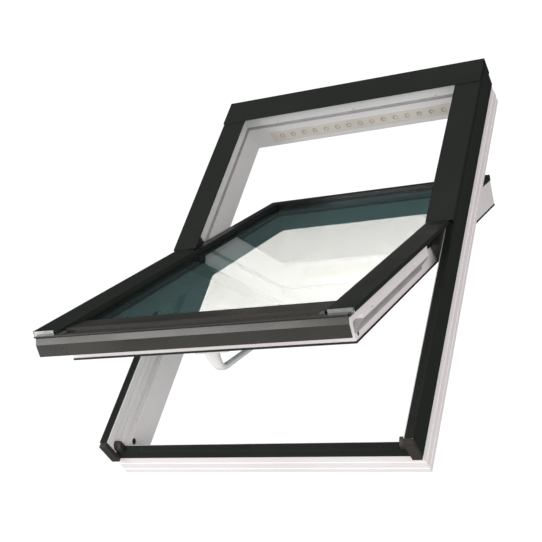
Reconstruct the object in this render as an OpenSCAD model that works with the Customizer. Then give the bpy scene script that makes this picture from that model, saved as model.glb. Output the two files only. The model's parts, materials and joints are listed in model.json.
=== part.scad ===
// Centre-pivot roof window: a white plastic frame with dark metal claddings and a
// double-glazed sash that turns about a line near its middle, shown standing open.
// X runs across the roof, Y up the slope and Z out of the roof. The origin is the
// centre of the frame's outer rectangle, on its room-side face. The parts of the
// sash are drawn as it lies when closed, then turned by open_angle about the pivot.

/* [Overall] */
// Outer width of the frame
frame_w = 780; // [620:1:1140]
// Outer length of the frame, down the slope
frame_l = 1180; // [980:1:1420]
// Angle at which the sash stands open
open_angle = 32; // [5:1:60]
// Thickness of the frame's plastic walls
wall = 5; // [4:0.5:6]
// Thickness of the metal covers
sheet = 1.5; // [1.2:0.1:2]

/* [Frame] */
// Depth in plan of the frame at its room side
frame_in = 42; // [38:1:50]
// Depth in plan of the frame's outer wall
wall_in = 21; // [19:0.5:24]
// Height of the jambs and the head
frame_h = 128.5; // [124:0.5:130]
// Height of the ledge inside the jambs and the head
ledge_z = 76; // [72:1:78]
// Height of the sill
sill_h = 85; // [80:1:88]
// Height of the ledge inside the sill
sill_ledge_z = 44; // [38:1:46]
// Radius of the holes for mounting screws
fixing_r = 2.5; // [2:0.1:3]
// Distance of the bracket screws from the frame's ends
bracket_end = 160; // [100:1:240]
// Distance of the outer side screws from the frame's ends
side_end = 122; // [80:1:200]
// Height of the side screws
side_z = 48; // [46:1:56]

/* [Sash] */
// Gap between the sash and the reveal at the sides
side_gap = 6; // [5:0.5:8]
// Gap between the sash and the reveal at the head
head_gap = 8; // [7:0.5:10]
// Gap between the sash and the sill's wall
sill_gap = 7; // [7:0.5:10]
// Width in plan of the stiles and the top rail
rail_w = 30; // [28:0.5:36]
// Width in plan of the bottom rail
bottom_w = 48; // [47:0.5:56]
// Height of the sash's room side when closed
sash_z0 = 52; // [50:0.5:53]
// Height of the sash's outer edge when closed
sash_z1 = 134; // [132:0.5:135]
// Thickness of each pane
pane_t = 4; // [3:0.5:4]
// Space between the panes
pane_space = 16; // [12:1:16]

/* [Pivot] */
// Height of the pivot line, which is the top of the side covers
pivot_z = 143; // [142:0.5:146]
// Distance of the pivot line up the slope from the middle
pivot_y = 5; // [-40:1:40]
// Middle radius of the hinge's curved slot
slot_r = 46; // [40:0.5:48]
// Width of the hinge's curved slot
slot_w = 12; // [8:0.5:14]
// Clearance of the hinge's slider in its slot
slot_gap = 0.3; // [0.3:0.05:0.6]

/* [Covers] */
// Distance that the frame's side claddings stand out
clad_out = 1; // [0.5:0.1:1.5]
// Distance from the frame's side to the edge of the sash's side covers
cover_in = 9; // [7:0.5:11]
// Width of the sash's side covers
cover_w = 63; // [60:0.5:68]
// Distance that the side covers stand out past the frame's end
cover_over = 35; // [28:1:50]
// Distance that the bottom cladding stands out past the frame's end
hood_over = 50; // [42:1:60]
// Height that the bottom cladding's face hangs down to when closed
hood_z = 87; // [80:1:96]
// Length of the head cover down the slope
head_cover_l = 89.5; // [75:0.5:110]
// Height of the head cover
head_cover_z = 146.5; // [146:0.5:152]

/* [Beads] */
// Distance from the pivot to the sash's side beads
bead_start = 145; // [120:1:170]
// Distance from the pivot to the frame's side beads
stop_start = 80; // [78:1:120]
// Lower edge of the sash's side beads when closed
bead_z = 100; // [98:0.5:104]

/* [Lock] */
// Width of the handle's base
base_w = 80; // [60:1:100]
// Length of the handle's grip
grip_l = 124; // [100:1:140]
// Distance that the handle stands off the bottom rail
grip_off = 58; // [50:1:60]
// Radius of the lock bolts
bolt_r = 5; // [4:0.25:5.5]
// Travel of the lock bolts
bolt_travel = 12; // [8:0.5:12]

/* [Vent and screws] */
// Number of holes in the vent strip
vent_count = 15; // [9:2:17]
// Distance between the vent strip's holes
vent_pitch = 36; // [24:1:38]
// Radius of the vent strip's holes
vent_r = 6.5; // [3.5:0.5:7]
// Radius of the screws' shanks
screw_r = 1.6; // [1.2:0.1:2]
// Radius of the screws' heads
head_r = 3.5; // [3:0.1:4]

/* [Hidden] */
$fn = 48;
WHITE = [0.93, 0.92, 0.90];
DARK = [0.20, 0.20, 0.18];
GREY = [0.55, 0.55, 0.54];
BLACK = [0.07, 0.07, 0.07];
STEEL = [0.62, 0.63, 0.64];
BRASS = [0.60, 0.48, 0.22];
VENT = [0.72, 0.68, 0.64];
GLASS = [0.35, 0.55, 0.55, 0.5];
play = 0.3;                  // clearance of a piece that parts from its neighbour
eps = 0.01;

fx = frame_w/2;              // outer faces of the frame
fy = frame_l/2;
wx = fx - wall_in;           // inner faces of its outer walls
wy = fy - wall_in;
rx = fx - frame_in;          // its reveal
ry = fy - frame_in;
skin = 0.5;                  // step that the claddings' sheet lies in
clad_x = fx + clad_out;      // outer faces of the frame's side claddings
clad_in = fx - skin;
clad_top = frame_h + sheet;
clad_front = clad_x - 19.5;  // inner edge of their fronts
clad_z = frame_h/2 - 1.25;   // their lower edge
under = pivot_z - sheet;     // underside of the side covers

steel_w = 20.4;              // steel in the frame's lower chamber
steel_top = sill_ledge_z - wall;
bracket_x = fx - wall - play - steel_w/2;
bracket_y = fy - bracket_end;
side_ys = [-(fy - side_end), -(fy - side_end)/3, (fy - side_end)/3, fy - side_end];

sx = rx - side_gap;          // outer faces of the sash's profiles
st = ry - head_gap;
sb = -(wy - sill_gap);
ix = sx - rail_w;            // their inner faces
it = st - rail_w;
ib = sb + bottom_w;
corner_y = sb + rail_w;      // where the bottom corners' mitres end
lip = 12;                    // plastic edge beside the glass
glass_z1 = sash_z1 - 9;
glass_z0 = glass_z1 - 2*pane_t - pane_space;
rebate_z = glass_z0 - 3;
px = sx - lip - 4;           // half-width of the panes, and their ends
pt = st - lip - 4;
pb = sb + lip + 4;
gasket_w = 12;
chamber_z0 = sash_z0 + 8;
chamber_z1 = rebate_z - 8;
bottom_z1 = glass_z1 + 0.5;  // top of the bottom rail's outer wall
plate_z = bottom_z1 + sheet; // top of the bottom cladding's plate

cover_x1 = fx - cover_in;    // side covers of the sash
cover_x0 = cover_x1 - cover_w;
cover_y = -(fy + cover_over);
hood_y = -(fy + hood_over);
upper_z = pivot_z - 5;       // top of the cladding round the upper half's glass
split = 2;                   // half of the gap between lower and upper side covers

guide_x = rx - 1;            // inner faces of the hinge guides
slider_x = sx + 4;           // outer faces of the hinge sliders' plates
slot_d = 8;
guide_l = stop_start - 5;

head_xs = [-frame_w*0.314, 0, frame_w*0.314];
sill_xs = [-frame_w*0.385, 0, frame_w*0.385];
trim_xs = [-frame_w*0.285, 0, frame_w*0.285];
trim_y = -(fy - 15);
bead_ys = [sb + 55, sb + 326];
bead_screw_z = bead_z + 8;
clad_ys = [-(fy - side_end), stop_start + 60];
clad_mid = (clad_x + clad_front)/2;

lock_y = sb + 36;            // handle's spindle
bolt_y = sb + 17;
bolt_z = sash_z0 + 12.5;
case_w = 56;
base_z = sash_z0 - 13;
grip_z0 = sash_z0 - grip_off;

vent_x = (vent_count - 1)*vent_pitch/2 + 35;
vent_z0 = 18;
vent_z1 = sill_ledge_z + 12;

// Extrudes a section drawn in X and Z along Y.
module along_y(y0, y1)
    translate([0, y1, 0]) rotate([90, 0, 0]) linear_extrude(y1 - y0) children();

// Extrudes a section drawn in Y and Z along X.
module along_x(x0, x1)
    translate([x0, 0, 0]) rotate([90, 0, 90]) linear_extrude(x1 - x0) children();

// A box given by its limits.
module block(x0, x1, y0, y1, z0, z1)
    translate([x0, y0, z0]) cube([x1 - x0, y1 - y0, z1 - z0]);

module pin_x(x0, x1, y, z, r)
    translate([x0, y, z]) rotate([0, 90, 0]) cylinder(r = r, h = x1 - x0);

module left()
    mirror([1, 0, 0]) children();

module both() {
    children();
    mirror([1, 0, 0]) children();
}

// Turns the closed sash to where it stands open.
module on_sash()
    translate([0, pivot_y, pivot_z]) rotate([-open_angle, 0, 0])
        translate([0, -pivot_y, -pivot_z]) children();

// Keeps what lies over an outline in plan.
module over(points)
    intersection() {
        children();
        translate([0, 0, -5]) linear_extrude(200) polygon(points);
    }

// A screw seen from its head: the head ends at Z = 0 and the shank points along +Z.
module screw(l)
    rotate_extrude()
        polygon([[0, -2], [head_r, -1.6], [head_r, 0], [screw_r, 0], [screw_r, l],
                 [0, l]]);

module hole(l)
    translate([0, 0, -0.5]) cylinder(r = screw_r, h = l + 0.5);

// ---------------------------------------------------------------- frame
// The frame's profile without its chambers; u = 0 is the outer face.
module outline(top, ledge)
    difference() {
        polygon([[0, 0], [0, 12], [2, 13.5], [2, 16.5], [0, 18], [0, 36],
                 [1.6, 37.5], [1.6, clad_z - 5], [skin, clad_z - 3], [skin, top],
                 [wall_in, top], [wall_in, ledge], [frame_in, ledge],
                 [frame_in, 2], [frame_in - 2, 0]]);
        if (top > ledge + 42) {
            // Grooves that grip the beads and the gaskets
            translate([wall_in - 1.5, ledge + 15]) square([3, 2.5]);
            translate([wall_in - 1.5, ledge + 33]) square([3, 2.5]);
            translate([wall_in + 5, ledge - 1.5]) square([2.5, 3]);
            translate([wall_in + 14, ledge - 1.5]) square([2.5, 3]);
        }
    }

module chambers(top, ledge) {
    translate([wall, wall]) square([steel_w + 2*play, steel_top - wall]);
    translate([wall + steel_w + 2*play + 3, wall])
        square([frame_in - 2*wall - steel_w - 2*play - 3, steel_top - wall]);
    if (ledge - wall > steel_top + 10)
        translate([wall, steel_top + 3])
            square([frame_in - 2*wall, ledge - wall - steel_top - 3]);
    translate([wall, max(ledge, steel_top + 3)])
        square([wall_in - wall - 4, top - wall - max(ledge, steel_top + 3)]);
}

frame_side = [[fx, -fy], [fx, fy], [rx, ry], [rx, -ry]];
frame_top = [[-fx, fy], [fx, fy], [rx, ry], [-rx, ry]];
frame_bottom = [[-fx, -fy], [fx, -fy], [rx, -ry], [-rx, -ry]];

module at_head_beads() for (x = head_xs)
    translate([x, ry, bead_screw_z - 17]) rotate([-90, 0, 0]) children();
module at_sill_cladding() for (x = sill_xs)
    translate([x, -fy + 9, sill_h + sheet]) rotate([180, 0, 0]) children();
module at_side_cladding() for (y = clad_ys)
    translate([clad_mid, y, clad_top]) rotate([180, 0, 0]) children();

module jamb()
    color(WHITE) difference() {
        union() {
            over(frame_side) along_y(-fy, fy) translate([fx, 0]) mirror([1, 0])
                outline(frame_h, ledge_z);
            block(wx, clad_in, -fy, -wy, sill_h, frame_h);
            block(rx, wx, -wy, -ry, sill_ledge_z, ledge_z);
            block(rx, wx, -ry, -ry + 25, ledge_z - wall - 1, ledge_z);
        }
        over(frame_side) along_y(-fy, fy) translate([fx, 0]) mirror([1, 0])
            chambers(frame_h, ledge_z);
        for (y = [-bracket_y, bracket_y])
            translate([bracket_x, y, -1]) cylinder(r = fixing_r, h = wall + 2);
        for (y = side_ys) pin_x(fx - wall - 1, fx + 1, y, side_z, fixing_r);
        pin_x(rx - 1, rx + 8, bolt_y, bolt_z, bolt_r + 3);
        at_side_cladding() hole(12);
    }

module frame_jamb_right() jamb();
module frame_jamb_left() left() jamb();

module frame_head()
    color(WHITE) difference() {
        over(frame_top) along_x(-fx, fx) translate([fy, 0]) mirror([1, 0])
            outline(frame_h, ledge_z);
        over(frame_top) along_x(-fx, fx) translate([fy, 0]) mirror([1, 0])
            chambers(frame_h, ledge_z);
        block(-vent_x, vent_x, ry - 1, ry + 1, vent_z0, vent_z1);
        block(-vent_x + 5, vent_x - 5, ry - 1, ry + 9, vent_z0 + 5, vent_z1 - 5);
        translate([0, wall_in, 0]) at_head_beads() hole(10);
    }

module frame_sill()
    color(WHITE) over(frame_bottom) difference() {
        along_x(-fx, fx) translate([-fy, 0]) outline(sill_h, sill_ledge_z);
        along_x(-fx, fx) translate([-fy, 0]) chambers(sill_h, sill_ledge_z);
        at_sill_cladding() hole(12);
    }

// Steel box sections that stiffen the plastic profiles.
module tube(x0, x1, y0, y1, z0, z1)
    difference() {
        block(x0, x1, y0, y1, z0, z1);
        block(x0 + 1.5, x1 - 1.5, y0 - 1, y1 + 1, z0 + 1.5, z1 - 1.5);
    }

module frame_steels() {
    z0 = wall;
    z1 = steel_top - play;
    end = frame_in + 10;
    a = wall + play;
    color(STEEL) {
        both() difference() {
            tube(fx - a - steel_w, fx - a, -fy + end, fy - end, z0, z1);
            for (y = [-bracket_y, bracket_y])
                translate([bracket_x, y, 0]) cylinder(r = fixing_r, h = wall + 3);
        }
        for (s = [1, -1]) scale([1, s, 1]) rotate([0, 0, 90])
            tube(fy - a - steel_w, fy - a, -fx + end, fx - end, z0, z1);
    }
}

module jamb_cladding()
    color(DARK) difference() {
        along_y(-fy, fy - skin)
            polygon([[clad_in, clad_z], [clad_x, clad_z], [clad_x, clad_top],
                     [clad_front, clad_top], [clad_front, frame_h],
                     [clad_in, frame_h]]);
        at_side_cladding() hole(12);
    }
module jamb_cladding_right() jamb_cladding();
module jamb_cladding_left() left() jamb_cladding();

module cladding_end_caps()
    color(DARK) both() along_y(-fy - 11, -fy)
        polygon([[wx, clad_z], [clad_x, clad_z], [clad_x, clad_top - 4],
                 [clad_x - 4, clad_top], [wx, clad_top]]);

module sill_cladding()
    color(DARK) difference() {
        along_x(-wx, wx)
            polygon([[-fy + skin, clad_z], [-fy + skin - sheet, clad_z],
                     [-fy + skin - sheet, sill_h + sheet], [-wy - 2, sill_h + sheet],
                     [-wy - 2, sill_h], [-fy + skin, sill_h]]);
        at_sill_cladding() hole(12);
    }

module sill_corner_blocks() {
    z = sill_h + sheet;
    color(DARK) both() intersection() {
        block(wx - 19, wx, -fy + 1, -wy - 2, z, z + 21.5);
        pin_x(wx - 19, wx, -wy - 2, z, 21.5);
    }
}

module upper_cover()
    color(DARK) along_y(pivot_y + split, fy + 7)
        polygon([[cover_x0 + 3, pivot_z], [clad_x - 1, pivot_z], [clad_x - 1, clad_top],
                 [clad_x - 1 - sheet, clad_top], [clad_x - 1 - sheet, under],
                 [cover_x0 + 3 + sheet, under], [cover_x0 + 3 + sheet, under - 2],
                 [cover_x0 + 3, under - 2]]);
module upper_cover_right() upper_cover();
module upper_cover_left() left() upper_cover();

module head_cover() {
    y1 = fy + 7 + sheet;
    y0 = y1 - head_cover_l;
    z1 = head_cover_z - sheet;
    color(DARK) {
        along_x(-clad_x, clad_x)
            polygon([[y0, pivot_z], [y0, head_cover_z], [y1, head_cover_z],
                     [y1, clad_top - 34], [fy - skin, clad_top - 34],
                     [fy - skin, clad_top - 34 + sheet],
                     [y1 - sheet, clad_top - 34 + sheet], [y1 - sheet, z1],
                     [y0 + sheet, z1], [y0 + sheet, pivot_z]]);
        both() block(clad_x - 1, clad_x, y0 + eps, y1 - eps, pivot_z, z1 + eps);
        both() block(clad_x - 1, clad_x, fy, y1 - eps, clad_top - 34 + eps,
                     z1 + eps);
    }
}

// Beads and gaskets that the sash's upper half closes under
function stop_pts(top) = [[rx - 1, ledge_z + 10], [rx - 1, top], [wx, top],
    [wx, ledge_z], [rx + 4, ledge_z], [rx + 4, ledge_z + 10]];
lip_pts = [[rx + 4, ledge_z], [rx + 4, ledge_z + 10], [rx - 1.5, ledge_z + 10],
           [rx - 4, ledge_z + 5], [rx - 1.5, ledge_z]];
stop_side = [[wx, pivot_y], [wx, wy], [rx - 9, ry - 9], [rx - 9, pivot_y]];
stop_top = [[-wx, wy], [wx, wy], [rx - 9, ry - 9], [-rx + 9, ry - 9]];

module stop_bead() color(WHITE) over(stop_side)
    along_y(pivot_y + stop_start, fy) polygon(stop_pts(under));
module stop_bead_right() stop_bead();
module stop_bead_left() left() stop_bead();
module stop_bead_head()
    color(WHITE) difference() {
        over(stop_top) along_x(-fx, fx) translate([ry - rx, 0])
            polygon(stop_pts(under - 2));
        translate([0, -1, 0]) at_head_beads() hole(40);
    }

module frame_gasket() color(GREY) over(stop_side)
    along_y(pivot_y + stop_start, fy) polygon(lip_pts);
module frame_gasket_right() frame_gasket();
module frame_gasket_left() left() frame_gasket();
module frame_gasket_head()
    color(GREY) over(stop_top) along_x(-fx, fx) translate([ry - rx + 2, 0])
        polygon([[rx + 2, ledge_z], [rx + 2, ledge_z + 10], [rx - 3.5, ledge_z + 10],
                 [rx - 8, ledge_z + 5], [rx - 3.5, ledge_z]]);

module sill_gasket()
    color(BLACK) along_x(-sx + 5, sx - 5)
        polygon([[-ry - 1, sill_ledge_z], [-ry - 8, sill_ledge_z],
                 [-ry - 6.5, sash_z0 - 0.5], [-ry - 4.5, sash_z0 - 0.5]]);

module vent_strip()
    color(VENT) difference() {
        block(-vent_x, vent_x, ry - 1.5, ry + 1, vent_z0, vent_z1);
        for (i = [0:vent_count - 1])
            translate([(i - (vent_count - 1)/2)*vent_pitch, ry + 2, (vent_z0 + vent_z1)/2])
                rotate([90, 0, 0]) cylinder(r = vent_r, h = 4);
    }

module vent_filter()
    color(GREY) block(-vent_x + 5 + play, vent_x - 5 - play, ry + 1, ry + 9 - play,
                      vent_z0 + 5 + play, vent_z1 - 5 - play);

// Curved slots on the frame that carry the sash's curved sliders
module hinge_guide()
    color(BLACK) difference() {
        block(guide_x, wx, pivot_y - guide_l, pivot_y + guide_l, ledge_z, under - 0.5);
        translate([guide_x - 1, pivot_y, pivot_z]) rotate([0, 90, 0]) difference() {
            cylinder(r = slot_r + slot_w/2, h = slot_d + 1);
            translate([0, 0, -1]) cylinder(r = slot_r - slot_w/2, h = slot_d + 3);
        }
    }
module hinge_guide_right() hinge_guide();
module hinge_guide_left() left() hinge_guide();

module bolt_keeps()
    color(STEEL) both() difference() {
        pin_x(rx + 0.2, rx + 8, bolt_y, bolt_z, bolt_r + 2.9);
        pin_x(rx - 1, rx + 9, bolt_y, bolt_z, bolt_r + 0.6);
    }

module frame_screws()
    color(STEEL) {
        translate([0, -1, 0]) at_head_beads() screw(26);
        at_sill_cladding() screw(11);
        both() at_side_cladding() screw(11);
    }

// ----------------------------------------------------------------- sash
stile_plan = [[sx, sb], [sx, st], [ix, it], [ix, corner_y]];
top_plan = [[-sx, st], [sx, st], [ix, it], [-ix, it]];
bottom_plan = [[-sx, sb], [sx, sb], [ix, corner_y], [ix, ib], [-ix, ib],
               [-ix, corner_y]];

// Sash profile, measured inwards from its outer face.
module sash_section()
    difference() {
        polygon([[0, sash_z0], [0, sash_z1], [lip, sash_z1], [lip, rebate_z],
                 [rail_w, rebate_z], [rail_w, sash_z0 + 4], [rail_w - 4, sash_z0]]);
        translate([6, chamber_z0]) square([rail_w - 12, chamber_z1 - chamber_z0]);
    }

module at_bead_screws() for (y = bead_ys)
    translate([sx + 20, y, bead_screw_z]) rotate([0, -90, 0]) children();

module stile()
    color(WHITE) on_sash() difference() {
        over(stile_plan) union() {
            along_y(sb, st) translate([sx, 0]) mirror([1, 0]) sash_section();
            block(ix + 5, sx - 5, sb, corner_y + 10, chamber_z0 - 1, chamber_z1 + 1);
            block(ix + 5, sx - 5, it - 12, st, chamber_z0 - 1, chamber_z1 + 1);
        }
        block(ix, sx + 1, sb - 1, sb + 14, bottom_z1, sash_z1 + 1);
        pin_x(ix, sx + 1, bolt_y, bolt_z, bolt_r + play);
        at_bead_screws() hole(28);
    }
module sash_stile_right() stile();
module sash_stile_left() left() stile();

module sash_top_rail()
    color(WHITE) on_sash() over(top_plan) difference() {
        along_x(-sx, sx) translate([st, 0]) mirror([1, 0]) sash_section();
        both() block(ix - 12, sx, it, st, 0, 0.1);
    }

module sash_bottom_rail()
    color(WHITE) on_sash() over(bottom_plan) difference() {
        along_x(-sx, sx)
            polygon([[sb, sash_z0], [sb, bottom_z1], [sb + lip, bottom_z1],
                     [sb + lip, rebate_z], [ib, rebate_z], [ib, sash_z0 + 4],
                     [ib - 4, sash_z0]]);
        block(-ix, ix, sb + 6, ib - 4, sash_z0 + 6, chamber_z1);
        translate([0, lock_y, sash_z0 - 1]) cylinder(r = 5.5, h = 10);
        both() pin_x(ix - 1, sx, bolt_y, bolt_z, bolt_r + play);
    }

module sash_steels()
    color(STEEL) on_sash() {
        both() tube(ix + 6 + play, sx - 6 - play, corner_y + 10 + play, it - 12 - play,
                    chamber_z0, chamber_z1 - play);
        tube(-ix + 12, ix - 12, it + 6 + play, st - 6 - play, chamber_z0,
             chamber_z1 - play);
    }

module pane(z)
    color(GLASS) on_sash() block(-px, px, pb, pt, z, z + pane_t);
module outer_pane() pane(glass_z1 - pane_t);
module inner_pane() pane(glass_z0);

// A ring along the panes' edges.
module ring(w, z0, z1)
    difference() {
        block(-px, px, pb, pt, z0, z1);
        block(-px + w, px - w, pb + w, pt - w, z0 - 1, z1 + 1);
    }
module spacer_bar()
    color(STEEL) on_sash() ring(gasket_w, glass_z0 + pane_t, glass_z1 - pane_t);
module inner_glazing_gasket()
    color(BLACK) on_sash() ring(gasket_w, rebate_z, glass_z0);
module outer_glazing_gasket()
    color(BLACK) on_sash() ring(gasket_w - 2, glass_z1, plate_z);

// Black claddings round the glass of the upper half
module upper_cladding()
    color(BLACK) on_sash() {
        intersection() {
            along_y(pivot_y + 3, st)
                polygon([[px - 10, plate_z], [px - 8.7, plate_z], [px - 8.7, upper_z - 1.3],
                         [sx, upper_z - 1.3], [sx, upper_z], [px - 10, upper_z]]);
            translate([0, 0, glass_z1]) linear_extrude(40)
                polygon([[sx, 0 - fy], [sx, st], [ix, it], [ix, -fy]]);
        }
        along_y(pivot_y + 61, st)
            polygon([[sx, upper_z - 16], [sx + 1.3, upper_z - 16], [sx + 1.3, upper_z],
                     [sx, upper_z]]);
    }
module upper_cladding_right() upper_cladding();
module upper_cladding_left() left() upper_cladding();
module upper_cladding_top()
    color(BLACK) on_sash() {
        over(top_plan) along_x(-sx, sx)
            polygon([[pt - 10, plate_z], [pt - 8.7, plate_z], [pt - 8.7, upper_z - 1.3],
                     [st, upper_z - 1.3], [st, upper_z], [pt - 10, upper_z]]);
        block(-sx, sx, st, st + 1.3, upper_z - 16, upper_z);
    }

module lower_cover()
    color(DARK) on_sash() along_y(cover_y, pivot_y - split)
        polygon([[cover_x1, pivot_z - 10], [cover_x1, pivot_z],
                 [cover_x0 + 26, pivot_z], [cover_x0, pivot_z - 4],
                 [cover_x0, plate_z], [cover_x0 + sheet, plate_z],
                 [cover_x0 + sheet, pivot_z - 4 - 1.3], [cover_x0 + 26.2, under],
                 [cover_x1 - sheet, under], [cover_x1 - sheet, pivot_z - 10]]);
module lower_cover_right() lower_cover();
module lower_cover_left() left() lower_cover();

module cover_end_plates()
    color(GREY) on_sash() both()
        block(cover_x0 + 7, cover_x1 - 3, cover_y - 1.5, cover_y, pivot_z - 13.5,
              pivot_z - 0.5);

module bottom_cladding() {
    y = hood_y;
    z = plate_z;
    color(DARK) on_sash() {
        difference() {
            along_x(-sx + play, sx - play)
                polygon([[sb + 13, bottom_z1], [y + 26, bottom_z1], [y + 26, z],
                         [sb + 13, z]]);
            at_trim() hole(12);
        }
        along_x(-wx - 1, wx + 1)
            polygon([[y + 27, z], [y + 12.5, z], [y + 11.5, z + 8], [y, z + 8],
                     [y, z + 5], [y + 5, z + 2.5], [y + 5, z + 1], [y, z - 12],
                     [y + 3, hood_z], [y + 4.5, hood_z], [y + 1.6, z - 12.2],
                     [y + 6.5, z + 0.7], [y + 6.5, z + 3.4], [y + 2, z + 6.5],
                     [y + 10.2, z + 6.5], [y + 11.2, bottom_z1], [y + 27, bottom_z1]]);
    }
}

module at_trim() for (x = trim_xs)
    translate([x, trim_y, plate_z + 6]) rotate([180, 0, 0]) children();

module bottom_trim() {
    y = hood_y + 44;
    z = plate_z;
    color([0.27, 0.24, 0.22]) on_sash() difference() {
        along_x(-cover_x0 + 2, cover_x0 - 2)
            polygon([[pb + 22, z], [pb + 20, z + 1.3], [y + 4, z + 8], [y, z + 8],
                     [y, z], [y + sheet, z], [y + sheet, z + 6.5], [y + 4, z + 6.5],
                     [pb + 16, z]]);
        at_trim() translate([0, 0, -3]) cylinder(r = head_r, h = 12);
    }
}

// White mouldings that close the ends of the bottom cladding
module hood_ends() {
    y = hood_y;
    z = bottom_z1;
    color(WHITE) on_sash() both() along_x(sx + 3, sx + 25)
        polygon([[y + 27, z], [y + 6.3, z], [y + 2.3, z - 10.7], [y + 5.2, hood_z + 3],
                 [y + 15, hood_z + 3], [y + 27, bead_z + 12]]);
}

module corner_fittings()
    color(STEEL) on_sash() both()
        block(cover_x0 - 15, cover_x0 - play, hood_y + 16, hood_y + 34, plate_z,
              plate_z + 7);

// Beads and gaskets that close on the frame below the hinges
module bead_section(z)
    polygon([[sx, z], [sx + 25, z], [sx + 25, pivot_z - 15],
             [sx + 18, pivot_z - 15], [sx + 18, under], [sx + 4, under],
             [sx + 4, sash_z1], [sx, sash_z1]]);

module sash_bead()
    color(WHITE) on_sash() difference() {
        union() {
            along_y(sb, pivot_y - bead_start) bead_section(bead_z);
            along_y(hood_y + 27.5, sb + eps) bead_section(bead_z + 12);
        }
        for (y = bead_ys) {
            block(sx + 20, sx + 26, y - 5, y + 5, bead_screw_z - 4, bead_screw_z + 4);
            for (d = [-5, 5]) pin_x(sx + 20, sx + 26, y + d, bead_screw_z, 4);
        }
        at_bead_screws() hole(28);
    }
module sash_bead_right() sash_bead();
module sash_bead_left() left() sash_bead();

module sash_gaskets()
    color(GREY) on_sash() both() along_y(sb, pivot_y - bead_start)
        polygon([[sx, ledge_z - 6], [sx + 4, ledge_z - 6], [sx + 5, ledge_z + 2],
                 [sx + 24, bead_z - 3], [sx + 24, bead_z], [sx, bead_z]]);

module sash_seal()
    color(BLACK) on_sash() difference() {
        block(-sx - 1.2, sx + 1.2, sb - 1, st + 1.2, sash_z0 - 2.5, sash_z0 + 2);
        block(-sx + 4, sx - 4, sb + 4, st - 4, sash_z0 - 3, sash_z0 + 3);
        block(-sx, sx, sb, st, sash_z0, sash_z0 + 3);
    }

// A ring segment about the pivot line, its angles measured from +Y.
module pivot_arc(x0, x1, r0, r1, a0, a1)
    translate([x0, pivot_y, pivot_z]) rotate([90, 0, 90]) rotate([0, 0, a0])
        rotate_extrude(angle = a1 - a0) translate([r0, 0]) square([r1 - r0, x1 - x0]);

module hinge_slider()
    color(BRASS) on_sash() {
        pivot_arc(sx, slider_x, slot_r - slot_w/2 - 6, slot_r + slot_w/2 + 4, -31, -7);
        pivot_arc(slider_x - 1, guide_x + slot_d - 1, slot_r - slot_w/2 + slot_gap,
                  slot_r + slot_w/2 - slot_gap, -28, -9);
        block(sx, sx + 2.5, pivot_y - 140, pivot_y + 52, bead_z - 2, bead_z + 18);
        for (y = [-128, -96, -60, -20])
            pin_x(sx + 1, sx + 4, pivot_y + y, bead_z + 8, 4);
    }
module hinge_slider_right() hinge_slider();
module hinge_slider_left() left() hinge_slider();

module sash_screws()
    color(STEEL) on_sash() {
        both() at_bead_screws() screw(27);
        at_trim() screw(10);
    }

// ----------------------------------------------------------------- lock
module handle_base()
    color(WHITE) on_sash() difference() {
        block(-base_w/2, base_w/2, lock_y - 15, lock_y + 9.5, base_z, sash_z0);
        translate([0, lock_y, base_z - 1]) cylinder(r = 7 + play, h = 15);
    }

module handle_lever()
    color(WHITE) on_sash() translate([0, lock_y, 0]) difference() {
        union() {
            translate([0, 0, grip_z0]) cylinder(r = 7, h = grip_off - 0.5);
            rotate([0, 0, -6]) {
                block(-7, 7, 0, grip_l - 7, grip_z0, grip_z0 + 12);
                translate([0, grip_l - 7, grip_z0]) cylinder(r = 7, h = 12);
            }
        }
        block(-3.1, 3.1, -3.1, 3.1, base_z, sash_z0);
    }

module handle_spindle()
    color(STEEL) on_sash() translate([0, lock_y, 0])
        block(-3, 3, -3, 3, base_z, sash_z0 + 34);

module lock_case()
    color(STEEL) on_sash() difference() {
        block(-case_w/2, case_w/2, sb + 9, ib - 4 - play, sash_z0 + 6, sash_z0 + 30);
        translate([0, lock_y, sash_z0]) cylinder(r = 4.6, h = 40);
    }

module bolt_guides()
    color(BLACK) on_sash() both() difference() {
        block(ix - 22, ix - play, sb + 6 + play, bolt_y + 10, sash_z0 + 6, bolt_z + 8);
        pin_x(ix - 23, ix + 1, bolt_y, bolt_z, bolt_r + play);
    }

module lock_bolt()
    color(STEEL) on_sash() {
        block(case_w/2 + play, ix - 22 - bolt_travel - 1, bolt_y - 3, bolt_y + 3,
              bolt_z - 6, bolt_z + 6);
        pin_x(ix - 22 - bolt_travel - 2, sx - 0.5, bolt_y, bolt_z, bolt_r);
    }
module lock_bolt_right() lock_bolt();
module lock_bolt_left() left() lock_bolt();

frame_head();
frame_sill();
frame_jamb_left();
frame_jamb_right();
frame_steels();
jamb_cladding_left();
jamb_cladding_right();
cladding_end_caps();
sill_cladding();
sill_corner_blocks();
upper_cover_left();
upper_cover_right();
head_cover();
stop_bead_left();
stop_bead_right();
stop_bead_head();
frame_gasket_left();
frame_gasket_right();
frame_gasket_head();
sill_gasket();
vent_strip();
vent_filter();
hinge_guide_left();
hinge_guide_right();
bolt_keeps();
frame_screws();
sash_top_rail();
sash_bottom_rail();
sash_stile_left();
sash_stile_right();
sash_steels();
outer_pane();
inner_pane();
spacer_bar();
inner_glazing_gasket();
outer_glazing_gasket();
upper_cladding_left();
upper_cladding_right();
upper_cladding_top();
lower_cover_left();
lower_cover_right();
cover_end_plates();
bottom_cladding();
bottom_trim();
hood_ends();
corner_fittings();
sash_bead_left();
sash_bead_right();
sash_gaskets();
sash_seal();
hinge_slider_left();
hinge_slider_right();
sash_screws();
handle_base();
handle_lever();
handle_spindle();
lock_case();
bolt_guides();
lock_bolt_left();
lock_bolt_right();
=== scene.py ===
import bpy
import bmesh
import json
import math
from mathutils import Matrix, Vector

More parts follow.
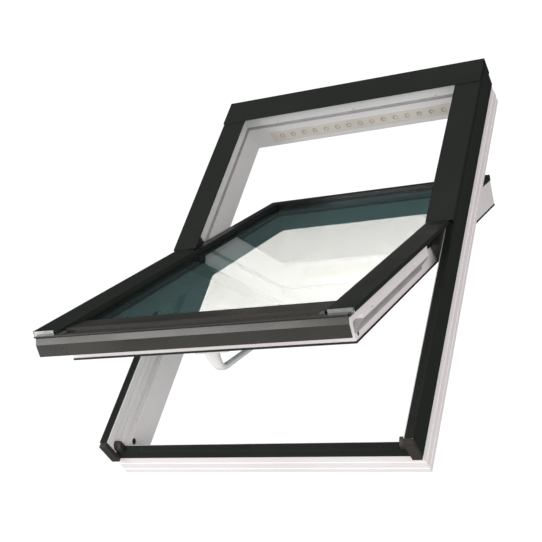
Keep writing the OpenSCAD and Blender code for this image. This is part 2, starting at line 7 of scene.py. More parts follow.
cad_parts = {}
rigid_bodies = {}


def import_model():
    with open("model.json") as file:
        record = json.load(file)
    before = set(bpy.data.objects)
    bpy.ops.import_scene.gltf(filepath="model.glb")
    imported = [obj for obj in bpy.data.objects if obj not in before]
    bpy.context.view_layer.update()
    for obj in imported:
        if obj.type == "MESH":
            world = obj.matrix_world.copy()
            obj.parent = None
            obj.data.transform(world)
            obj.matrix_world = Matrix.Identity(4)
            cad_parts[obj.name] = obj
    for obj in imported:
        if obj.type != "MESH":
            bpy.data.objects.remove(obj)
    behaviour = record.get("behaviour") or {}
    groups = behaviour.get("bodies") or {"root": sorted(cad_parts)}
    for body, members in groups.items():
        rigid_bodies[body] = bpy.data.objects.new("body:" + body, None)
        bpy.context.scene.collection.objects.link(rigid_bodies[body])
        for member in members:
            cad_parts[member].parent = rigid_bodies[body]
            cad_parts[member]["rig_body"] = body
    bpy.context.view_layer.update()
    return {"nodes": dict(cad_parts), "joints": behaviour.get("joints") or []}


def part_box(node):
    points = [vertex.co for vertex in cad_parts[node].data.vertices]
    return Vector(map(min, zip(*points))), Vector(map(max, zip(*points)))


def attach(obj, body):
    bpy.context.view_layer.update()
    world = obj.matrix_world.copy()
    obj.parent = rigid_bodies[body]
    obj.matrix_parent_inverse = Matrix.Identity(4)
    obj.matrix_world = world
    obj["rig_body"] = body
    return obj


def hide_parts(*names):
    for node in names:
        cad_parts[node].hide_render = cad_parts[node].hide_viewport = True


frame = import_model()


# ---- Frame: jambs, head and sill -------------------------------------------
# Extruded white PVC, mitred and welded at the corners. The long grooves in the
# outer sides take the flashing, and every arris has the small round of a die.

def finish(name, roughness, metallic=0.0, specular=0.5):
    """A new material with one Principled shader, and its nodes."""
    made = bpy.data.materials.new(name)
    made.use_nodes = True
    shader = made.node_tree.nodes["Principled BSDF"]
    shader.inputs["Roughness"].default_value = roughness
    shader.inputs["Metallic"].default_value = metallic
    shader.inputs["Specular IOR Level"].default_value = specular
    return made, made.node_tree.nodes, made.node_tree.links, shader


def grain(nodes, links, scale, stretch=(1, 1, 1), detail=4.0, rough=0.6):
    """Noise in the piece's own coordinates; returns its value socket."""
    where = nodes.new("ShaderNodeTexCoord")
    size = nodes.new("ShaderNodeMapping")
    size.inputs["Scale"].default_value = stretch
    noise = nodes.new("ShaderNodeTexNoise")
    noise.inputs["Scale"].default_value = scale
    noise.inputs["Detail"].default_value = detail
    noise.inputs["Roughness"].default_value = rough
    links.new(where.outputs["Object"], size.inputs["Vector"])
    links.new(size.outputs["Vector"], noise.inputs["Vector"])
    return noise.outputs["Fac"]


def spread(nodes, links, value, low, high, start=0.3, end=0.7):
    """Maps a noise value to a range of numbers."""
    ranged = nodes.new("ShaderNodeMapRange")
    ranged.inputs["From Min"].default_value = start
    ranged.inputs["From Max"].default_value = end
    ranged.inputs["To Min"].default_value = low
    ranged.inputs["To Max"].default_value = high
    links.new(value, ranged.inputs["Value"])
    return ranged.outputs["Result"]


def blend_colours(nodes, links, factor, first, second):
    """Mixes two colours, or a colour and a socket, by a factor."""
    mix = nodes.new("ShaderNodeMix")
    mix.data_type = "RGBA"
    links.new(factor, mix.inputs["Factor"])
    for socket, colour in ((mix.inputs["A"], first), (mix.inputs["B"], second)):
        if isinstance(colour, bpy.types.NodeSocket):
            links.new(colour, socket)
        else:
            socket.default_value = (*colour, 1)
    return mix.outputs["Result"]


def relief(nodes, links, shader, height, strength, distance):
    """Bump from a height socket."""
    bump = nodes.new("ShaderNodeBump")
    bump.inputs["Strength"].default_value = strength
    bump.inputs["Distance"].default_value = distance
    links.new(height, bump.inputs["Height"])
    links.new(bump.outputs["Normal"], shader.inputs["Normal"])


def extruded_plastic(name, light, shade, stretch):
    """PVC with faint lines along the extrusion and a slightly uneven gloss."""
    made, nodes, links, shader = finish(name, 0.32, specular=0.45)
    cloud = grain(nodes, links, 3.0, detail=5)
    lines = grain(nodes, links, 30.0, stretch, detail=3)
    tint = blend_colours(nodes, links, spread(nodes, links, cloud, 0, 1), light, shade)
    streak = spread(nodes, links, lines, 0.0, 0.18)
    links.new(blend_colours(nodes, links, streak, tint, shade), shader.inputs["Base Color"])
    links.new(spread(nodes, links, lines, 0.26, 0.42), shader.inputs["Roughness"])
    relief(nodes, links, shader, lines, 0.10, 0.0004)
    return made


def rounded(node, radius, segments=2):
    """A merged copy of a CAD node with its arrises rounded, riding on its body."""
    cad = frame["nodes"][node]
    mesh = cad.data.copy()
    shape = bmesh.new()
    shape.from_mesh(mesh)
    bmesh.ops.remove_doubles(shape, verts=shape.verts, dist=1e-6)
    bmesh.ops.dissolve_limit(shape, angle_limit=math.radians(0.5), verts=shape.verts,
                             edges=shape.edges)
    shape.to_mesh(mesh)
    shape.free()
    mesh.materials.clear()
    piece = bpy.data.objects.new(node + "_finished", mesh)
    bpy.context.scene.collection.objects.link(piece)
    bevel = piece.modifiers.new("round", "BEVEL")
    bevel.width = radius
    bevel.segments = segments
    bevel.limit_method = "ANGLE"
    bevel.angle_limit = math.radians(38)
    bevel.harden_normals = True
    bevel.use_clamp_overlap = True
    graph = bpy.context.evaluated_depsgraph_get()
    smooth = bpy.data.meshes.new_from_object(piece.evaluated_get(graph), depsgraph=graph)
    piece.modifiers.clear()
    piece.data = smooth
    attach(piece, cad["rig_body"])
    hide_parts(node)
    return piece


def dress(piece, material):
    """Gives a piece its material, in a single slot."""
    piece.data.materials.clear()
    piece.data.materials.append(material)
    return piece


def coat(node, material):
    """Puts a material on a CAD node that stays as it is."""
    for place in frame["nodes"][node].material_slots:
        place.material = material


PVC_ROUND = 0.0008
PVC_LIGHT = (0.84, 0.815, 0.812)
PVC_SHADE = (0.77, 0.735, 0.732)
pvc_along_y = extruded_plastic("pvc_along_y", PVC_LIGHT, PVC_SHADE, (14, 0.25, 14))
pvc_along_x = extruded_plastic("pvc_along_x", PVC_LIGHT, PVC_SHADE, (0.25, 14, 14))
for node in ("frame_jamb_left", "frame_jamb_right"):
    dress(rounded(node, PVC_ROUND), pvc_along_y)
for node in ("frame_head", "frame_sill"):
    dress(rounded(node, PVC_ROUND), pvc_along_x)


# ---- Steels inside the profiles --------------------------------------------
# Rolled box sections of zinc-plated steel, pushed into the profiles' chambers
# before welding. They show only if a profile is cut.

def plated_steel(name, bright, dull, roughness):
    """Zinc-plated or brushed steel with a fine spangle and rubbed patches."""
    made, nodes, links, shader = finish(name, roughness, metallic=1.0)
    patches = grain(nodes, links, 60.0, detail=6)
    fine = grain(nodes, links, 900.0, detail=2)
    links.new(blend_colours(nodes, links, spread(nodes, links, patches, 0, 1),
                            bright, dull), shader.inputs["Base Color"])
    links.new(spread(nodes, links, patches, roughness - 0.1, roughness + 0.15),
              shader.inputs["Roughness"])
    relief(nodes, links, shader, fine, 0.15, 0.0002)
    return made


zinc = plated_steel("zinc_plate", (0.66, 0.67, 0.68), (0.42, 0.43, 0.44), 0.35)
for node in ("frame_steels", "sash_steels", "bolt_keeps", "handle_spindle",
             "lock_case", "lock_bolt_left", "lock_bolt_right"):
    coat(node, zinc)


# ---- Claddings of the frame ------------------------------------------------
# Folded aluminium sheet with a dark umber stove enamel, clipped and screwed over
# the profiles' weather side. The enamel has a fine orange peel and a little dust.

def enamel(name, colour, dust, roughness):
    """Stove-enamelled sheet: orange peel, faint dust and worn arrises."""
    made, nodes, links, shader = finish(name, roughness, specular=0.4)
    cloud = grain(nodes, links, 5.0, detail=6)
    peel = grain(nodes, links, 420.0, detail=2)
    coloured = blend_colours(nodes, links, spread(nodes, links, cloud, 0, 1),
                             colour, dust)
    edge = nodes.new("ShaderNodeNewGeometry")
    worn = spread(nodes, links, edge.outputs["Pointiness"], 0, 0.55, 0.53, 0.62)
    thinned = tuple(c * 2.2 for c in dust)
    links.new(blend_colours(nodes, links, worn, coloured, thinned),
              shader.inputs["Base Color"])
    links.new(spread(nodes, links, cloud, roughness - 0.07, roughness + 0.1),
              shader.inputs["Roughness"])
    relief(nodes, links, shader, peel, 0.12, 0.0003)
    return made


FOLD_ROUND = 0.0004
umber = enamel("umber_enamel", (0.0085, 0.0105, 0.0082), (0.0145, 0.0170, 0.0132), 0.40)
for node in ("jamb_cladding_left", "jamb_cladding_right", "sill_cladding",
             "upper_cover_left", "upper_cover_right"):
    dress(rounded(node, FOLD_ROUND), umber)
# The head cover's folded ends are dipped black
head_cover = dress(rounded("head_cover", FOLD_ROUND), umber)
dipped = enamel("dipped_ends", (0.004, 0.004, 0.004), (0.007, 0.007, 0.007), 0.5)
head_cover.data.materials.append(dipped)
END_DEPTH = 0.0012
end_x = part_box("head_cover")[1].x - END_DEPTH
for face in head_cover.data.polygons:
    if abs(face.center.x) > end_x:
        face.material_index = 1


# ---- End caps and corner blocks --------------------------------------------
# Dark moulded plastic: caps that close the lower ends of the side claddings, and
# quarter-round blocks that seal the corners on top of the sill.

def moulded_plastic(name, colour, other, roughness, pits=260.0, depth=0.25):
    """Moulded plastic with a fine matt texture."""
    made, nodes, links, shader = finish(name, roughness, specular=0.4)
    cloud = grain(nodes, links, 9.0, detail=5)
    texture = grain(nodes, links, pits, detail=3)
    links.new(blend_colours(nodes, links, spread(nodes, links, cloud, 0, 1), colour,
                            other), shader.inputs["Base Color"])
    links.new(spread(nodes, links, texture, roughness - 0.08, roughness + 0.08),
              shader.inputs["Roughness"])
    relief(nodes, links, shader, texture, depth, 0.0003)
    return made


cap_plastic = moulded_plastic("dark_cap_plastic", (0.050, 0.044, 0.038),
                              (0.032, 0.029, 0.025), 0.5)
for node in ("cladding_end_caps", "sill_corner_blocks"):
    dress(rounded(node, 0.0012, 3), cap_plastic)


# ---- Beads and gaskets that the sash's upper half closes under -------------
# White PVC beads screwed on above the hinges, with a soft grey gasket gripped
# under their inner edge.

def soft_rubber(name, colour, other, roughness):
    """Soft gasket: dull, with a slight bloom."""
    made, nodes, links, shader = finish(name, roughness, specular=0.3)
    cloud = grain(nodes, links, 40.0, detail=5)
    links.new(blend_colours(nodes, links, spread(nodes, links, cloud, 0, 1), colour,
                            other), shader.inputs["Base Color"])
    links.new(spread(nodes, links, cloud, roughness - 0.1, roughness + 0.1),
              shader.inputs["Roughness"])
    relief(nodes, links, shader, cloud, 0.15, 0.0003)
    return made


grey_rubber = soft_rubber("grey_gasket", (0.30, 0.30, 0.295), (0.38, 0.375, 0.37), 0.6)
black_rubber = soft_rubber("black_gasket", (0.014, 0.014, 0.014),
                           (0.025, 0.025, 0.024), 0.55)
for node in ("stop_bead_left", "stop_bead_right"):
    dress(rounded(node, 0.0015, 3), pvc_along_y)
dress(rounded("stop_bead_head", 0.0015, 3), pvc_along_x)
for node in ("frame_gasket_left", "frame_gasket_right", "frame_gasket_head"):
    dress(rounded(node, 0.0008), grey_rubber)
dress(rounded("sill_gasket", 0.0008), black_rubber)


# ---- Ventilation strip -----------------------------------------------------
# A grey-beige plastic strip let into the head, with a row of round holes for
# background ventilation and a pale filter pad behind them.

vent_plastic = moulded_plastic("vent_plastic", (0.775, 0.705, 0.635),
                               (0.682, 0.620, 0.558), 0.45, 180.0, 0.15)
filter_pad = soft_rubber("filter_pad", (0.78, 0.77, 0.73), (0.60, 0.59, 0.55), 0.85)
coat("vent_strip", vent_plastic)
coat("vent_filter", filter_pad)


def wire(tree, *runs):
    """Joins sockets; each run names a node, its output, the next node and its input."""
    for start, output, end, socket in runs:
        tree.links.new(start.outputs[output], end.inputs[socket])


def node_group(name, sockets):
    """A Geometry Nodes tree with Geometry in and out and the given inputs."""
    tree = bpy.data.node_groups.new(name, "GeometryNodeTree")
    tree.interface.new_socket("Geometry", in_out="INPUT", socket_type="NodeSocketGeometry")
    tree.interface.new_socket("Geometry", in_out="OUTPUT", socket_type="NodeSocketGeometry")
    for label, kind in sockets:
        tree.interface.new_socket(label, in_out="INPUT", socket_type="NodeSocket" + kind)
    return tree, tree.nodes.new("NodeGroupInput"), tree.nodes.new("NodeGroupOutput")


def grown(name, points, tree, values, body, aims=None):
    """Runs a tree on loose points and returns its result as one plain mesh piece."""
    mesh = bpy.data.meshes.new(name)
    mesh.from_pydata([tuple(p) for p in points], [], [])
    if aims:
        aim = mesh.attributes.new("aim", "FLOAT_VECTOR", "POINT")
        aim.data.foreach_set("vector", [c for a in aims for c in a])
    piece = bpy.data.objects.new(name, mesh)
    bpy.context.scene.collection.objects.link(piece)
    modifier = piece.modifiers.new("grow", "NODES")
    modifier.node_group = tree
    for item in tree.interface.items_tree:
        if item.in_out == "INPUT" and item.name in values:
            modifier[item.identifier] = values[item.name]
    graph = bpy.context.evaluated_depsgraph_get()
    made = bpy.data.meshes.new_from_object(piece.evaluated_get(graph), depsgraph=graph)
    piece.modifiers.clear()
    piece.data = made
    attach(piece, body)
    return piece


# A thin raised rim round each hole, moulded with the strip; its dark brown-grey is painted
# shade round the holes.
tree, given, result = node_group("hole_rims", (("Rim radius", "Float"),
                                               ("Lip radius", "Float"),
                                               ("Finish", "Material")))
ring = tree.nodes.new("GeometryNodeCurvePrimitiveCircle")
ring.inputs["Resolution"].default_value = 32
lip = tree.nodes.new("GeometryNodeCurvePrimitiveCircle")
lip.inputs["Resolution"].default_value = 8
sweep = tree.nodes.new("GeometryNodeCurveToMesh")
stand = tree.nodes.new("GeometryNodeTransform")
stand.inputs["Rotation"].default_value = (math.pi / 2, 0, 0)
place = tree.nodes.new("GeometryNodeInstanceOnPoints")
realize = tree.nodes.new("GeometryNodeRealizeInstances")
clothe = tree.nodes.new("GeometryNodeSetMaterial")
wire(tree, (given, "Rim radius", ring, "Radius"), (given, "Lip radius", lip, "Radius"),
     (ring, "Curve", sweep, "Curve"), (lip, "Curve", sweep, "Profile Curve"),
     (sweep, "Mesh", stand, "Geometry"), (given, "Geometry", place, "Points"),
     (stand, "Geometry", place, "Instance"), (place, "Instances", realize, "Geometry"),
     (realize, "Geometry", clothe, "Geometry"), (given, "Finish", clothe, "Material"),
     (clothe, "Geometry", result, "Geometry"))
strip_low, strip_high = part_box("vent_strip")
HOLES = 15
END_MARGIN = 0.035
RIM_SEAT = 0.0002
pitch = (strip_high.x - strip_low.x - 2 * END_MARGIN) / (HOLES - 1)
centres = [(strip_low.x + END_MARGIN + i * pitch, strip_low.y + RIM_SEAT,
            (strip_low.z + strip_high.z) / 2) for i in range(HOLES)]
# Painted shade: the rims are far darker than the strip they are moulded with.
rim_painted_shade = moulded_plastic("vent_rim_plastic", (0.33, 0.30, 0.27),
                              (0.26, 0.235, 0.21), 0.5)
grown("vent_hole_rims", centres, tree,
      {"Rim radius": 0.0068, "Lip radius": 0.0007, "Finish": rim_painted_shade},
      "frame")


# ---- Hinge guides ----------------------------------------------------------
# Black coated steel plates on the jambs. The curved slot in each is centred on
# the pivot line, so the sash turns about its own middle.

black_coat = enamel("black_hinge_coat", (0.016, 0.016, 0.015), (0.030, 0.029, 0.027), 0.38)
for node in ("hinge_guide_left", "hinge_guide_right"):
    dress(rounded(node, 0.0008), black_coat)


# ---- Sash profiles ---------------------------------------------------------
# Narrower white PVC profiles, mitred and welded round the glass, with a black
# seal pushed into the room-side edge. The sash hangs on the two hinges alone.

pivot_joint = [j for j in frame["joints"] if j["name"] == "sash_pivot"][0]
PIVOT = Vector(pivot_joint["pos_m"])
OPEN = math.radians(-pivot_joint["range_deg"][0])


def sash_plastic(name, axis):
    """The sash's PVC: its lines run along its own profiles."""
    made = extruded_plastic(name, PVC_LIGHT, PVC_SHADE, (1, 1, 1))
    for mapping in [n for n in made.node_tree.nodes if n.type == "MAPPING"][1:]:
        mapping.inputs["Rotation"].default_value = (OPEN, 0, 0)
        mapping.inputs["Scale"].default_value = axis
    return made


sash_along_y = sash_plastic("sash_pvc_along_y", (14, 0.25, 14))
sash_along_x = sash_plastic("sash_pvc_along_x", (0.25, 14, 14))
for node in ("sash_stile_left", "sash_stile_right"):
    dress(rounded(node, PVC_ROUND), sash_along_y)
for node in ("sash_top_rail", "sash_bottom_rail"):
    dress(rounded(node, PVC_ROUND), sash_along_x)
coat("sash_seal", black_rubber)


# ---- Glass -----------------------------------------------------------------
# A sealed double-glazed unit: two panes of clear coated glass with a blue-green cast, held
# apart by a dull metal spacer and bedded in black gaskets. The tints are part real cast and
# part painted shade, dark enough that the profiles seen through the glass read dark teal.

def coated_glass(name, tint, gloss):
    """See-through glass: a tint under a reflection that grows at low angles."""
    made, nodes, links, shader = finish(name, 0.02)
    nodes.remove(shader)
    out = nodes["Material Output"]
    clear = nodes.new("ShaderNodeBsdfTransparent")
    clear.inputs["Color"].default_value = (*tint, 1)
    shine = nodes.new("ShaderNodeBsdfGlossy")
    shine.inputs["Roughness"].default_value = 0.012
    shine.inputs["Color"].default_value = (0.95, 1.0, 1.0, 1)
    slant = nodes.new("ShaderNodeLayerWeight")
    slant.inputs["Blend"].default_value = 0.5
    steep = nodes.new("ShaderNodeMath")
    steep.operation = "POWER"
    steep.inputs[1].default_value = 5.0
    links.new(slant.outputs["Facing"], steep.inputs[0])
    film = nodes.new("ShaderNodeMath")
    film.operation = "MULTIPLY_ADD"
    film.inputs[1].default_value = gloss
    film.inputs[2].default_value = 0.03
    links.new(steep.outputs[0], film.inputs[0])
    ripple = grain(nodes, links, 5.0, detail=2)
    bump = nodes.new("ShaderNodeBump")
    bump.inputs["Strength"].default_value = 0.006
    bump.inputs["Distance"].default_value = 0.001
    links.new(ripple, bump.inputs["Height"])
    links.new(bump.outputs["Normal"], shine.inputs["Normal"])
    mix = nodes.new("ShaderNodeMixShader")
    links.new(film.outputs[0], mix.inputs["Fac"])
    links.new(clear.outputs["BSDF"], mix.inputs[1])
    links.new(shine.outputs["BSDF"], mix.inputs[2])
    links.new(mix.outputs["Shader"], out.inputs["Surface"])
    return made


# Part painted shade: crossed four times these tints pass about a fifth of red and a third of
# green and blue light.
outer_glass = coated_glass("outer_glass", (0.66, 0.77, 0.765), 1.00)
inner_glass = coated_glass("inner_glass", (0.68, 0.78, 0.775), 0.30)
coat("outer_pane", outer_glass)
coat("inner_pane", inner_glass)
spacer = plated_steel("spacer_metal", (0.36, 0.38, 0.38), (0.28, 0.30, 0.30), 0.4)
coat("spacer_bar", spacer)
for node in ("inner_glazing_gasket", "outer_glazing_gasket"):
    coat(node, black_rubber)


# ---- Claddings round the upper glass ---------------------------------------
# Slim angles of black-enamelled sheet, mitred at the top. They are clipped over the
# upper half's profiles and hold the edge of the glass.

black_enamel = enamel("black_enamel", (0.009, 0.010, 0.010), (0.016, 0.017, 0.017),
                      0.35)
for node in ("upper_cladding_left", "upper_cladding_right", "upper_cladding_top"):
    dress(rounded(node, FOLD_ROUND), black_enamel)


# ---- Side covers of the sash -----------------------------------------------
# Wide folded sheets over the lower half's sides, dark umber outside, with a pale
# metal plate and a bright clip at each lower end.

for node in ("lower_cover_left", "lower_cover_right"):
    dress(rounded(node, FOLD_ROUND), umber)
pale_plate = plated_steel("pale_end_plate", (0.62, 0.62, 0.60), (0.50, 0.50, 0.48), 0.45)
dress(rounded("cover_end_plates", 0.0003), pale_plate)
bright_clip = plated_steel("bright_clip", (0.80, 0.80, 0.79), (0.62, 0.62, 0.61), 0.28)
dress(rounded("corner_fittings", 0.0012, 3), bright_clip)


# ---- Bottom cladding and its glazing trim ----------------------------------
# A folded hood over the bottom rail that throws water clear of the frame, white
# PVC ends in its openings, and a brown-grey trim that holds the glass's lower edge.

# Painted light: the hood's enamel is about three times lighter than the umber of the other
# claddings, for the brighter look of its face.
hood_enamel_painted_light = enamel("hood_enamel_painted_light", (0.026, 0.025, 0.0215), (0.038, 0.0365, 0.032), 0.26)
brown_enamel = enamel("brown_trim_enamel", (0.034, 0.031, 0.027),
                      (0.050, 0.045, 0.040), 0.38)
dress(rounded("bottom_cladding", FOLD_ROUND), hood_enamel_painted_light)
dress(rounded("bottom_trim", FOLD_ROUND), brown_enamel)
dress(rounded("hood_ends", PVC_ROUND, 3), sash_along_x)


# ---- Beads and gaskets below the hinges ------------------------------------
# On the lower half the beads are on the sash: white PVC outside the stiles with
# slots for their screws, and a broad grey lip gasket under them.

for node in ("sash_bead_left", "sash_bead_right"):
    dress(rounded(node, 0.0012, 3), sash_along_y)
dress(rounded("sash_gaskets", 0.0010), grey_rubber)


# ---- Hinge sliders ---------------------------------------------------------
# Black coated steel on the sash's stiles: a long strap, and the curved slider that
# runs in the guide's slot. The strap's rivets are yellow-passivated.

def passivated(name):
    """Yellow-passivated steel, cloudy and a little worn."""
    made, nodes, links, shader = finish(name, 0.34, metallic=1.0)
    cloud = grain(nodes, links, 45.0, detail=6)
    fine = grain(nodes, links, 500.0, detail=2)
    links.new(blend_colours(nodes, links, spread(nodes, links, cloud, 0, 1),
                            (0.16, 0.125, 0.07), (0.42, 0.33, 0.17)),
              shader.inputs["Base Color"])
    links.new(spread(nodes, links, cloud, 0.28, 0.5), shader.inputs["Roughness"])
    relief(nodes, links, shader, fine, 0.12, 0.0002)
    return made


STRAP_DEPTH = 0.0026
RIVET_AREA = 0.00008
brass_steel = passivated("passivated_steel")
for node in ("hinge_slider_left", "hinge_slider_right"):
    slider = dress(rounded(node, FOLD_ROUND), black_coat)
    slider.data.materials.append(brass_steel)
    strap = min(abs(v.co.x) for v in slider.data.vertices) + STRAP_DEPTH
    for face in slider.data.polygons:
        inner = min(abs(slider.data.vertices[v].co.x) for v in face.vertices)
        if inner > strap and face.area < RIVET_AREA and face.center.y < PIVOT.y:
            face.material_index = 1


# ---- Handle ----------------------------------------------------------------
# White moulded plastic on the bottom rail's room side: a long base plate and a
# lever on a square spindle.

handle_white = moulded_plastic("handle_plastic", (0.72, 0.71, 0.705),
                               (0.66, 0.65, 0.645), 0.34, 500.0, 0.05)
dress(rounded("handle_base", 0.003, 4), handle_white)

turn_joint = [j for j in frame["joints"] if j["name"] == "handle_turn"][0]
root = Vector(turn_joint["pos_m"])
across = Vector((1, 0, 0))
outward = Vector(turn_joint["axis"]).normalized()
along = outward.cross(across)
# Section centres across, along the rail's face and out of it; half width, half depth
LEVER = ((-0.007, 0.000, -0.012, 0.0200, 0.0100), (-0.006, -0.001, -0.022, 0.0165, 0.0090),
         (-0.002, -0.001, -0.036, 0.0130, 0.0078), (0.003, 0.001, -0.048, 0.0110, 0.0070),
         (0.007, 0.010, -0.0535, 0.0100, 0.0058), (0.011, 0.035, -0.0530, 0.0094, 0.0052),
         (0.015, 0.070, -0.0520, 0.0090, 0.0050), (0.019, 0.104, -0.0515, 0.0086, 0.0048),
         (0.0205, 0.114, -0.0515, 0.0070, 0.0042), (0.021, 0.118, -0.0515, 0.0035, 0.0025))


def swept(name, stations, sides=24, steps=6):
    """A closed solid through rounded sections along a smooth path."""
    rows = []
    count = len(stations) - 1
    for i in range(count * steps + 1):
        at = i / steps
        k = min(int(at), count - 1)
        f = at - k
        before, a, b, after = (stations[max(k - 1, 0)], stations[k], stations[k + 1],
                               stations[min(k + 2, count)])
        rows.append([0.5 * (2 * q + (r - p) * f + (2 * p - 5 * q + 4 * r - t) * f * f
                            + (3 * q - p - 3 * r + t) * f ** 3)
                     for p, q, r, t in zip(before, a, b, after)])
    spots = [root + across * x + along * y + outward * z for x, y, z, _, _ in rows]
    shape = bmesh.new()
    loops = []
    for i, (spot, row) in enumerate(zip(spots, rows)):
        ahead = (spots[min(i + 1, len(rows) - 1)] - spots[max(i - 1, 0)]).normalized()
        wide = (across - ahead * across.dot(ahead)).normalized()
        deep = ahead.cross(wide)
        loop = []
        for j in range(sides):
            angle = 2 * math.pi * j / sides
            c, s = math.cos(angle), math.sin(angle)
            c, s = math.copysign(abs(c) ** 0.7, c), math.copysign(abs(s) ** 0.7, s)
            loop.append(shape.verts.new(spot + wide * c * row[3] + deep * s * row[4]))
        loops.append(loop)
    for first, second in zip(loops, loops[1:]):
        for j in range(sides):
            k = (j + 1) % sides
            shape.faces.new((first[j], first[k], second[k], second[j]))
    shape.faces.new(loops[0][::-1])
    shape.faces.new(loops[-1])
    bmesh.ops.recalc_face_normals(shape, faces=shape.faces)
    mesh = bpy.data.meshes.new(name)
    shape.to_mesh(mesh)
    shape.free()
    for face in mesh.polygons:
        face.use_smooth = len(face.vertices) == 4
    piece = bpy.data.objects.new(name, mesh)
    bpy.context.scene.collection.objects.link(piece)
    return piece


lever = dress(swept("handle_lever_finished", LEVER), handle_white)
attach(lever, "handle")
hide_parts("handle_lever")


# ---- Lock ------------------------------------------------------------------
# A zinc-plated case and two bolts that lie in the bottom rail's chamber. The bolts
# slide in guides of black moulded plastic.

guide_plastic = moulded_plastic("guide_plastic", (0.020, 0.020, 0.020),
                                (0.030, 0.030, 0.030), 0.5)
coat("bolt_guides", guide_plastic)


# ---- Screws ----------------------------------------------------------------
# Zinc-plated screws with a domed head and a cross recess. Each stands where its
# CAD screw does, pointing the same way.

def screw_places(node):
    """Where each screw of a CAD node stands: the base of its head, and its aim."""
    shape = bmesh.new()
    shape.from_mesh(frame["nodes"][node].data)
    bmesh.ops.remove_doubles(shape, verts=shape.verts, dist=1e-6)
    left, places = set(shape.verts), []
    while left:
        stack, island = [left.pop()], []
        while stack:
            vert = stack.pop()
            island.append(vert.co.copy())
            for edge in vert.link_edges:
                other = edge.other_vert(vert)
                if other in left:
                    left.remove(other)
                    stack.append(other)
        middle = sum(island, Vector()) / len(island)
        tip = max(island, key=lambda v: (v - middle).length)
        far = max(island, key=lambda v: (v - tip).length)
        line = (far - tip).normalized()
        for _ in range(4):  # settles on the screw's own axis
            ends = [(v - middle).dot(line) for v in island]
            top = [v for v, e in zip(island, ends) if e > max(ends) - 0.0003]
            low = [v for v, e in zip(island, ends) if e < min(ends) + 0.0003]
            line = (sum(top, Vector()) / len(top) - sum(low, Vector()) / len(low)).normalized()
        ends = [(v - middle).dot(line) for v in island]
        width = [((v - middle) - line * e).length for v, e in zip(island, ends)]
        if ends[width.index(max(width))] < 0:
            line, ends = -line, [-e for e in ends]
        places.append((middle + line * (max(ends) - 0.002), line))
    shape.free()
    return sorted(places, key=lambda place: tuple(round(c, 4) for c in place[0]))


tree, given, result = node_group("domed_screws", (("Head radius", "Float"),
                                                  ("Finish", "Material")))
dome = tree.nodes.new("GeometryNodeMeshUVSphere")
dome.inputs["Segments"].default_value = 24
dome.inputs["Rings"].default_value = 12
flat = tree.nodes.new("GeometryNodeTransform")
flat.inputs["Scale"].default_value = (1, 1, 0.55)
arms = []
for turned in (0, math.pi / 2):
    arm = tree.nodes.new("GeometryNodeMeshCube")
    arm.inputs["Size"].default_value = (0.0038, 0.0008, 0.0024)
    lift = tree.nodes.new("GeometryNodeTransform")
    lift.inputs["Translation"].default_value = (0, 0, 0.0021)
    lift.inputs["Rotation"].default_value = (0, 0, turned)
    tree.links.new(arm.outputs["Mesh"], lift.inputs["Geometry"])
    arms.append(lift)
recess = tree.nodes.new("GeometryNodeMeshBoolean")
recess.operation = "DIFFERENCE"
shank = tree.nodes.new("GeometryNodeMeshCylinder")
shank.inputs["Vertices"].default_value = 16
shank.inputs["Radius"].default_value = 0.0015
shank.inputs["Depth"].default_value = 0.008
sink = tree.nodes.new("GeometryNodeTransform")
sink.inputs["Translation"].default_value = (0, 0, -0.0045)
whole = tree.nodes.new("GeometryNodeJoinGeometry")
aim = tree.nodes.new("GeometryNodeInputNamedAttribute")
aim.data_type = "FLOAT_VECTOR"
aim.inputs["Name"].default_value = "aim"
turn = tree.nodes.new("FunctionNodeAlignRotationToVector")
turn.axis = "Z"
place = tree.nodes.new("GeometryNodeInstanceOnPoints")
chance = tree.nodes.new("FunctionNodeRandomValue")
chance.data_type = "FLOAT"
chance.inputs["Max"].default_value = 1.5
chance.inputs["Seed"].default_value = 7
spin = tree.nodes.new("ShaderNodeCombineXYZ")
rotate = tree.nodes.new("GeometryNodeRotateInstances")
realize = tree.nodes.new("GeometryNodeRealizeInstances")
clothe = tree.nodes.new("GeometryNodeSetMaterial")
wire(tree, (given, "Head radius", dome, "Radius"), (dome, "Mesh", flat, "Geometry"),
     (flat, "Geometry", recess, "Mesh 1"), (arms[0], "Geometry", recess, "Mesh 2"),
     (arms[1], "Geometry", recess, "Mesh 2"), (shank, "Mesh", sink, "Geometry"),
     (recess, "Mesh", whole, "Geometry"), (sink, "Geometry", whole, "Geometry"),
     (aim, "Attribute", turn, "Vector"), (given, "Geometry", place, "Points"),
     (whole, "Geometry", place, "Instance"), (turn, "Rotation", place, "Rotation"),
     (place, "Instances", rotate, "Instances"), (spin, "Vector", rotate, "Rotation"),
     (rotate, "Instances", realize, "Geometry"), (realize, "Geometry", clothe, "Geometry"),
     (given, "Finish", clothe, "Material"), (clothe, "Geometry", result, "Geometry"))
tree.links.new([o for o in chance.outputs if o.type == "VALUE" and o.enabled][0],
               spin.inputs["Z"])

HEAD_RADIUS = 0.0034
screw_zinc = plated_steel("screw_zinc", (0.20, 0.20, 0.195), (0.11, 0.11, 0.105), 0.38)
painted_screw = enamel("painted_screw", (0.035, 0.036, 0.030), (0.055, 0.056, 0.048), 0.36)
for node, body in (("frame_screws", "frame"), ("sash_screws", "sash")):
    places = screw_places(node)
    # Screws that face sideways stay bare, those that face the sky are painted
    sideways = [place for place in places if abs(place[1].z) < 0.5]
    upright = [place for place in places if abs(place[1].z) >= 0.5]
    bare = grown(node + "_plain", [p for p, _ in sideways], tree,
                 {"Head radius": HEAD_RADIUS, "Finish": screw_zinc}, body,
                 [a for _, a in sideways])
    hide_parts(node)
    grown(node + "_painted", [p for p, _ in upright], tree,
          {"Head radius": HEAD_RADIUS, "Finish": painted_screw}, body,
          [a for _, a in upright])
